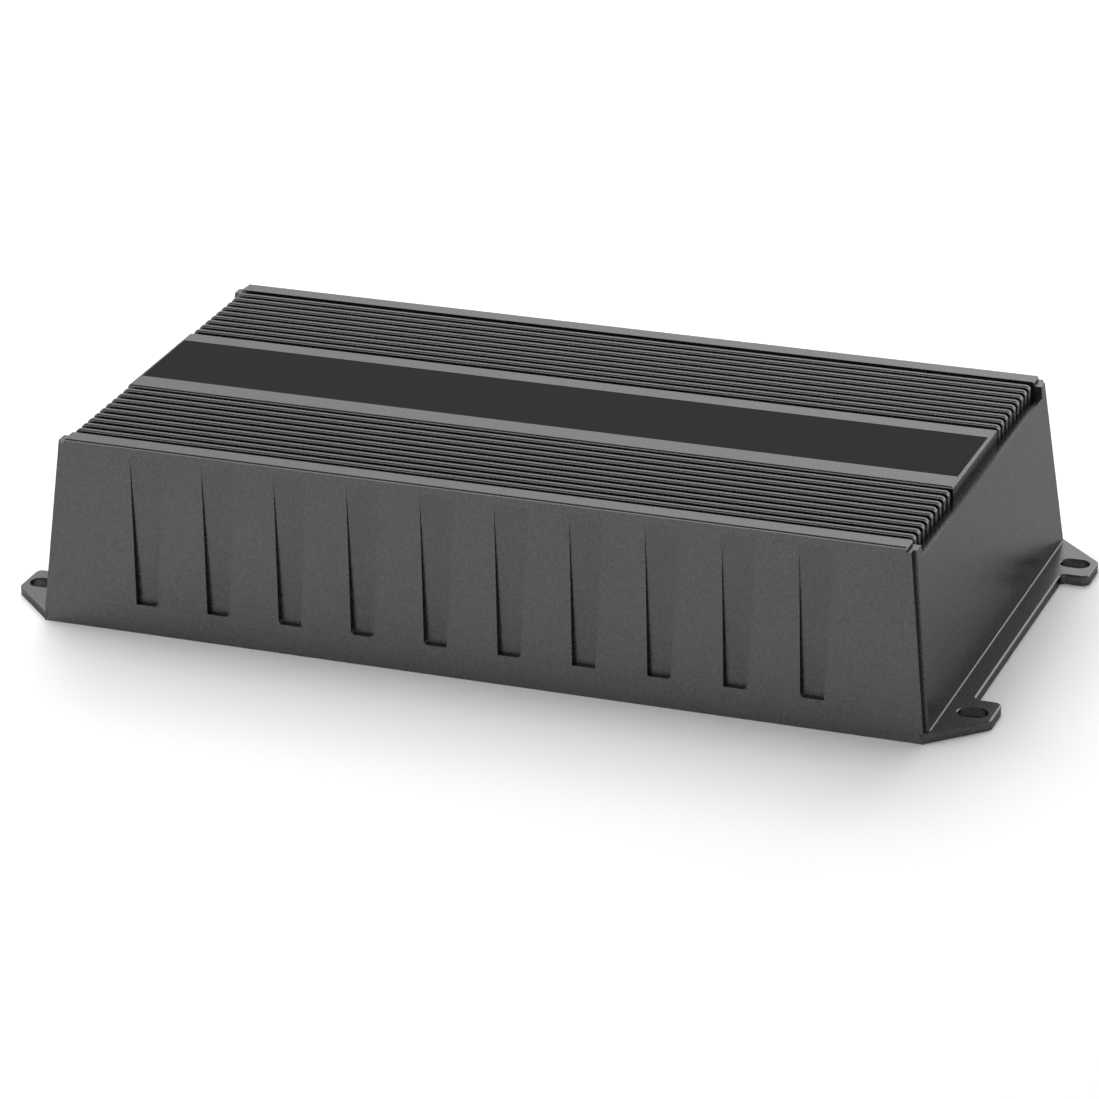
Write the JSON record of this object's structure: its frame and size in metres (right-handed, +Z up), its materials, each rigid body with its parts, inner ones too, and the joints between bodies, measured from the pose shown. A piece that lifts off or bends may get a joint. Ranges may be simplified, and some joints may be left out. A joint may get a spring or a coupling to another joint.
{
  "type": "car amplifier",
  "caption": "Compact finned die-cast audio amplifier for a vehicle, with slotted mounting ears and a recessed rear bay of terminals, inputs and level controls.",
  "frame": {"origin": "middle of the footprint on the mounting surface", "axes": "+X along the long side, +Y towards the rear wall with the terminals, +Z up through the fins"},
  "size_m": [0.279, 0.135, 0.0525],
  "materials": {
    "dark_cast_coating": "fine textured dark grey powder coat",
    "black_badge": "matt black overlay",
    "black_steel_sheet": "black coated steel sheet",
    "gasket_rubber": "soft black",
    "zinc_screw": "zinc plated",
    "black_screw": "black oxide",
    "black_panel": "satin black",
    "black_block": "moulded black",
    "nickel_contact": "nickel plated brass",
    "nickel_screw": "nickel plated",
    "plated_shell": "nickel plated shell",
    "white_insulator": "moulded",
    "gold_contact": "gold flash",
    "green_board": "solder mask",
    "grey_plastic": "moulded",
    "grey_knob": "moulded",
    "black_cap": "moulded",
    "switch_metal": "tinned",
    "clear_light_pipe": "clear",
    "epoxy_black": "moulded epoxy",
    "grey_pad": "silicone",
    "zinc_steel": "zinc plated",
    "ferrite": "sintered ferrite",
    "copper_wire": "enamelled copper",
    "capacitor_sleeve": "sleeved can"
  },
  "bodies": {
    "case": {"badge_strip": "black_badge", "board_screws": "zinc_screw", "bottom_gasket": "gasket_rubber", "bottom_plate": "black_steel_sheet", "bottom_screws": "zinc_screw", "capacitors": "capacitor_sleeve", "choke_core": "ferrite", "choke_winding": "copper_wire", "circuit_board": "green_board", "clamp_bar_screws": "zinc_screw", "clamp_bars": "zinc_steel", "control_board": "green_board", "control_bodies": "grey_plastic", "control_chips": "epoxy_black", "housing": "dark_cast_coating", "inductor_cores": "ferrite", "inductor_windings": "copper_wire", "input_jack_body": "black_block", "input_jack_shells": "plated_shell", "input_jack_sleeves": "white_insulator", "light_pipe": "clear_light_pipe", "panel_gasket": "gasket_rubber", "panel_screws": "black_screw", "power_contacts": "nickel_contact", "power_devices": "epoxy_black", "power_terminal_block": "black_block", "rear_panel": "black_panel", "remote_contacts": "gold_contact", "remote_socket": "black_block", "speaker_contacts": "nickel_contact", "speaker_terminal_block": "black_block", "switch_bodies": "switch_metal", "thermal_pads": "grey_pad", "transformer_core": "ferrite", "transformer_windings": "copper_wire"},
    "level_knob_1": {"level_knob_1": "grey_knob"},
    "level_knob_2": {"level_knob_2": "grey_knob"},
    "level_knob_3": {"level_knob_3": "grey_knob"},
    "level_knob_4": {"level_knob_4": "grey_knob"},
    "switch_cap_1": {"switch_cap_1": "black_cap"},
    "switch_cap_2": {"switch_cap_2": "black_cap"},
    "switch_cap_3": {"switch_cap_3": "black_cap"},
    "power_clamp_screw_1": {"power_clamp_screw_1": "nickel_screw"},
    "power_clamp_screw_2": {"power_clamp_screw_2": "nickel_screw"},
    "power_clamp_screw_3": {"power_clamp_screw_3": "nickel_screw"},
    "speaker_clamp_screw_1": {"speaker_clamp_screw_1": "nickel_screw"},
    "speaker_clamp_screw_2": {"speaker_clamp_screw_2": "nickel_screw"},
    "speaker_clamp_screw_3": {"speaker_clamp_screw_3": "nickel_screw"},
    "speaker_clamp_screw_4": {"speaker_clamp_screw_4": "nickel_screw"},
    "speaker_clamp_screw_5": {"speaker_clamp_screw_5": "nickel_screw"},
    "speaker_clamp_screw_6": {"speaker_clamp_screw_6": "nickel_screw"},
    "speaker_clamp_screw_7": {"speaker_clamp_screw_7": "nickel_screw"},
    "speaker_clamp_screw_8": {"speaker_clamp_screw_8": "nickel_screw"}
  },
  "joints": [
    {"name": "level_knob_1_turn", "type": "hinge", "parent": "case", "child": "level_knob_1", "pos_m": [0.021, 0.057, 0.031], "axis": [0, 1, 0], "range_deg": [-150, 150]},
    {"name": "level_knob_2_turn", "type": "hinge", "parent": "case", "child": "level_knob_2", "pos_m": [0.033, 0.057, 0.031], "axis": [0, 1, 0], "range_deg": [-150, 150]},
    {"name": "level_knob_3_turn", "type": "hinge", "parent": "case", "child": "level_knob_3", "pos_m": [0.045, 0.057, 0.031], "axis": [0, 1, 0], "range_deg": [-150, 150]},
    {"name": "level_knob_4_turn", "type": "hinge", "parent": "case", "child": "level_knob_4", "pos_m": [0.057, 0.057, 0.031], "axis": [0, 1, 0], "range_deg": [-150, 150]},
    {"name": "switch_cap_1_slide", "type": "slide", "parent": "case", "child": "switch_cap_1", "axis": [1, 0, 0], "range_m": [0, 0.004]},
    {"name": "switch_cap_2_slide", "type": "slide", "parent": "case", "child": "switch_cap_2", "axis": [1, 0, 0], "range_m": [0, 0.004]},
    {"name": "switch_cap_3_slide", "type": "slide", "parent": "case", "child": "switch_cap_3", "axis": [1, 0, 0], "range_m": [0, 0.004]},
    {"name": "power_clamp_screw_1_turn", "type": "hinge", "parent": "case", "child": "power_clamp_screw_1", "pos_m": [-0.093, 0.0592, 0.025], "axis": [0, 1, 0], "continuous": true},
    {"name": "power_clamp_screw_2_turn", "type": "hinge", "parent": "case", "child": "power_clamp_screw_2", "pos_m": [-0.081, 0.0592, 0.025], "axis": [0, 1, 0], "continuous": true},
    {"name": "power_clamp_screw_3_turn", "type": "hinge", "parent": "case", "child": "power_clamp_screw_3", "pos_m": [-0.069, 0.0592, 0.025], "axis": [0, 1, 0], "continuous": true},
    {"name": "speaker_clamp_screw_1_turn", "type": "hinge", "parent": "case", "child": "speaker_clamp_screw_1", "pos_m": [-0.0507, 0.0592, 0.025], "axis": [0, 1, 0], "continuous": true},
    {"name": "speaker_clamp_screw_2_turn", "type": "hinge", "parent": "case", "child": "speaker_clamp_screw_2", "pos_m": [-0.0425, 0.0592, 0.025], "axis": [0, 1, 0], "continuous": true},
    {"name": "speaker_clamp_screw_3_turn", "type": "hinge", "parent": "case", "child": "speaker_clamp_screw_3", "pos_m": [-0.0343, 0.0592, 0.025], "axis": [0, 1, 0], "continuous": true},
    {"name": "speaker_clamp_screw_4_turn", "type": "hinge", "parent": "case", "child": "speaker_clamp_screw_4", "pos_m": [-0.0261, 0.0592, 0.025], "axis": [0, 1, 0], "continuous": true},
    {"name": "speaker_clamp_screw_5_turn", "type": "hinge", "parent": "case", "child": "speaker_clamp_screw_5", "pos_m": [-0.0179, 0.0592, 0.025], "axis": [0, 1, 0], "continuous": true},
    {"name": "speaker_clamp_screw_6_turn", "type": "hinge", "parent": "case", "child": "speaker_clamp_screw_6", "pos_m": [-0.0097, 0.0592, 0.025], "axis": [0, 1, 0], "continuous": true},
    {"name": "speaker_clamp_screw_7_turn", "type": "hinge", "parent": "case", "child": "speaker_clamp_screw_7", "pos_m": [-0.0015, 0.0592, 0.025], "axis": [0, 1, 0], "continuous": true},
    {"name": "speaker_clamp_screw_8_turn", "type": "hinge", "parent": "case", "child": "speaker_clamp_screw_8", "pos_m": [0.0067, 0.0592, 0.025], "axis": [0, 1, 0], "continuous": true}
  ]
}
